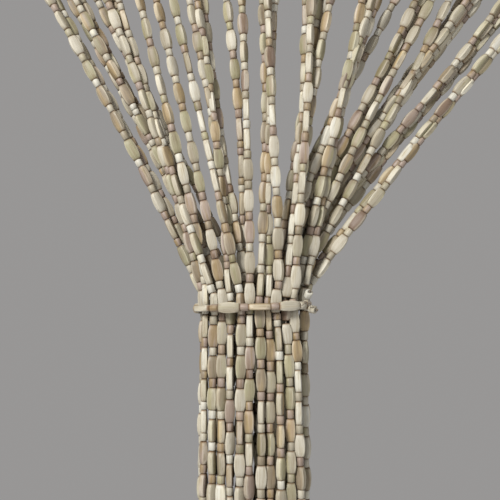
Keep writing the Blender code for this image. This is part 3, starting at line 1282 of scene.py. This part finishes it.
@dataclass
class Tie:
    """The beaded string tied round the bundle, with its knot and free ends.

    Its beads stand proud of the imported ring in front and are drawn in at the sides. The knots' places, from
    the ring's middle, are those of its own knot, the one beside that, and the low and the high end's.
    """

    stringing: Stringing
    wood: Material
    thread: Material
    roundness: float = 2.6
    thick: float = 0.0056
    free_end: float = 0.0048
    tilt: float = math.radians(1.7)
    proud: float = 0.0006
    drawn_in: float = 0.0016
    third_x: float = -0.0074
    seed: int = 21
    thread_thick: float = 0.0012
    fine_thick: float = 0.0007
    tone_spread: float = 0.03
    end_size: float = 0.85
    knots_at: tuple[Triple, ...] = (
        (0.0505, -0.0262, 0.0030), (0.0462, -0.0285, 0.0042),
        (0.0570, -0.0212, -0.0028), (0.0502, -0.0284, 0.0140),
    )
    knot_sizes: tuple[float, ...] = (0.00042, 0.00036, 0.00036, 0.00036)
    ends_at: tuple[Triple, ...] = ((0.0535, -0.0185, -0.0022), (0.0492, -0.0255, 0.0112))
    ends_along: tuple[Triple, ...] = ((0.80, -0.58, -0.15), (0.25, -0.70, 0.67))

    def __post_init__(self) -> None:
        """Reads the ring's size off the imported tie."""
        low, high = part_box("tie")
        self.half_wide = (high.x - low.x - self.free_end - self.thick) / 2
        self.half_deep = (high.y - low.y - self.thick) / 2
        self.middle_y = (low.y + high.y) / 2
        self.middle = np.array((low.x + self.thick / 2 + self.half_wide, 0.0, TIE_HEIGHT))

    def route(self) -> Line:
        """Works out the tie's ring.

        Returns:
            The closed route, which starts at the front near the right end.
        """
        turns = np.linspace(0.0, math.tau, 361)
        power = 2 / self.roundness
        x = (self.half_wide - self.drawn_in) * np.sign(np.cos(turns)) * np.abs(np.cos(turns)) ** power
        y = -(self.half_deep + self.proud) * np.sign(np.sin(turns)) * np.abs(np.sin(turns)) ** power
        z = TIE_HEIGHT + x * math.tan(self.tilt)
        return Line(np.column_stack([self.middle[0] + x, self.middle_y + y, z]))

    def build(self) -> list[Piece]:
        """Builds the tie's pieces.

        Returns:
            The beads, the thread and the knots.
        """
        ring = self.route()
        draw = random.Random(self.seed)
        forms = self.stringing.forms
        pairs = round(ring.length / forms.pitch)
        pitch = ring.length / pairs
        front = len(ring.points) // 2
        third = np.interp(-self.middle[0] - self.third_x, -ring.points[:front, 0], ring.run[:front])
        start = float(third) - 2 * pitch
        beads = []
        for k in range(2 * pairs):
            turn, tone = TIE_FRONT[k] if k < len(TIE_FRONT) else (FACE, draw.choice(TIE_TONES))
            at = (start + k * pitch / 2) % ring.length
            is_spacer = k % 2 == 0
            length = forms.spacer_length if is_spacer else forms.long_length
            ahead = ring.place((at + length / 2) % ring.length)
            behind = ring.place((at - length / 2) % ring.length)
            along = (ahead - behind) / np.linalg.norm(ahead - behind)
            place = ring.place(at) if is_spacer else (ring.place(at) + (ahead + behind) / 2) / 2
            kind = Kind.SPACER if is_spacer else Kind.LONG
            shade = tone.value + draw.uniform(-self.tone_spread, self.tone_spread)
            beads.append(Bead(place, along, UPWARD, math.radians(turn.value), length, kind.value, shade))
        beads += self.end_beads()
        lay = self.stringing.thread
        return [
            self.stringing.string(beads, "tie_beads", self.wood, self.seed),
            lay([ring.points], "tie_thread", self.thread_thick, self.thread),
            lay(self.knots(), "tie_knots", self.fine_thick, self.thread),
        ]

    def end_beads(self) -> list[Bead]:
        """Places the spacers on the tie's two free ends.

        Returns:
            The drilled spacers, their holes turned to the front.
        """
        length = self.stringing.forms.spacer_length * self.end_size
        beads = []
        for place, way, tone in zip(self.ends_at, self.ends_along, (CREAM, WHITE)):
            along = np.array(way) / np.linalg.norm(way)
            spot = self.middle + place
            beads.append(Bead(spot, along, UPWARD, 0.0, length, Kind.DRILLED.value, tone.value))
        return beads

    def knots(self) -> list[np.ndarray]:
        """Draws the knots of the tie's thread at its right end.

        Returns:
            The points of each knotted thread.
        """
        own, beside, low_end, high_end = self.knots_at
        low_bead, high_bead = self.ends_at
        to_high = ((0.0430, -0.0260, 0.0010), beside, own, (0.0500, -0.0245, 0.0060), high_bead, high_end)
        to_low = (own, (0.0510, -0.0210, 0.0000), low_bead, low_end)
        sized = zip(self.knots_at, self.knot_sizes)
        loops = [self.middle + place + overhand_loop() * size for place, size in sized]
        return [*loops, self.middle + np.array(to_high), self.middle + np.array(to_low)]


@dataclass
class Studio:
    """The camera, the lights, the pale floor and the pale surroundings."""

    view: ViewPoint
    floor_radius: float = 3.0
    floor_drop: float = 0.03
    floor_shade: Colour = (0.78, 0.79, 0.80)
    air_shade: Colour = (0.87, 0.85, 0.84)
    air_strength: float = 0.36

    def build(self) -> None:
        """Sets up everything that isn't the curtain."""
        self.camera()
        self.floor()
        self.lights()

    def camera(self) -> None:
        """Places the camera at the photograph's view."""
        data = bpy.data.cameras.new("camera")
        data.lens = self.view.lens
        data.sensor_width = self.view.sensor
        data.clip_start = 0.01
        made = in_scene("camera", data)
        made.location = (self.view.x, self.view.y, self.view.z)
        made.rotation_euler = (math.pi / 2 + self.view.pitch, 0.0, 0.0)
        bpy.context.scene.camera = made

    def floor(self) -> None:
        """Lays a plain pale round floor under the curtain."""
        low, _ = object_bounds()
        form = bmesh.new()
        bmesh.ops.create_circle(form, cap_ends=True, segments=96, radius=self.floor_radius)
        paint = Shading("pale_floor")
        paint.feed(paint.shader, {"Base Color": (*self.floor_shade, 1.0), "Roughness": 0.8})
        mesh = mesh_of(form, "floor")
        mesh.materials.append(paint.material)
        made = in_scene("floor", mesh)
        made.location = (0.0, 0.0, low.z - self.floor_drop)
        made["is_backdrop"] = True

    def lights(self) -> None:
        """Hangs soft lights in front and sets the pale surroundings."""
        for name, place, size, power, colour in (
            ("key_light", (-1.5, -2.0, 0.9), 0.8, 112.0, (1.0, 0.99, 0.97)),
            ("fill_light", (1.6, -1.6, -0.4), 1.8, 10.0, (0.95, 0.97, 1.0)),
        ):
            data = bpy.data.lights.new(name, "AREA")
            data.size = size
            data.energy = power
            data.color = colour
            made = in_scene(name, data)
            made.location = place
            aim = Vector((BUNDLE_X, 0.0, TIE_HEIGHT)) - made.location
            made.rotation_euler = aim.to_track_quat("-Z", "Y").to_euler()
        world = bpy.data.worlds.new("pale_surroundings")
        world.use_nodes = True
        air = world.node_tree.nodes["Background"]
        air.inputs["Color"].default_value = (*self.air_shade, 1.0)
        air.inputs["Strength"].default_value = self.air_strength
        bpy.context.scene.world = world
        bpy.context.scene.view_settings.view_transform = "Standard"


def fasten(pieces: list[Piece], slot: str, node: str) -> None:
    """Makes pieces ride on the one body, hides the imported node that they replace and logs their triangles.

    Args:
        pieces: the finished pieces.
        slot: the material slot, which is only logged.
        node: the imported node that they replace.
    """
    for piece in pieces:
        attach(piece, BODY)
        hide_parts(node)
        triangles = sum(len(p.vertices) - 2 for p in piece.data.polygons)
        LOG.info("%s: %d triangles, slot %s", piece.name, triangles, slot)


def main() -> None:
    """Builds the curtain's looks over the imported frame."""
    logging.basicConfig(level=logging.INFO, format="%(message)s")
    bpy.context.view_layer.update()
    view = ViewPoint()
    Studio(view).build()
    bead_wood = WoodFinish("bare_bead_wood").material()
    tie_wood = WoodFinish("tie_bead_wood").material()
    thread = ThreadFinish().material()
    stringing = Stringing()
    straight, underside = strand_lines()
    lines = [view.gathered(line, underside, i % 3 - 1) for i, line in enumerate(straight)]
    pieces = Curtain(stringing, view, bead_wood, thread).build(lines)
    fasten([p for p in pieces if "beads" in p.name], "bead_wood", "curtain")
    fasten([p for p in pieces if "beads" not in p.name], "thread", "curtain")
    fasten([Lath(LathFinish().material()).build(underside)], "lath_wood", "curtain")
    tied = Tie(stringing, tie_wood, thread).build()
    fasten(tied[:1], "tie_wood", "tie")
    fasten(tied[1:], "thread", "tie")


if __name__ == "__main__":
    main()
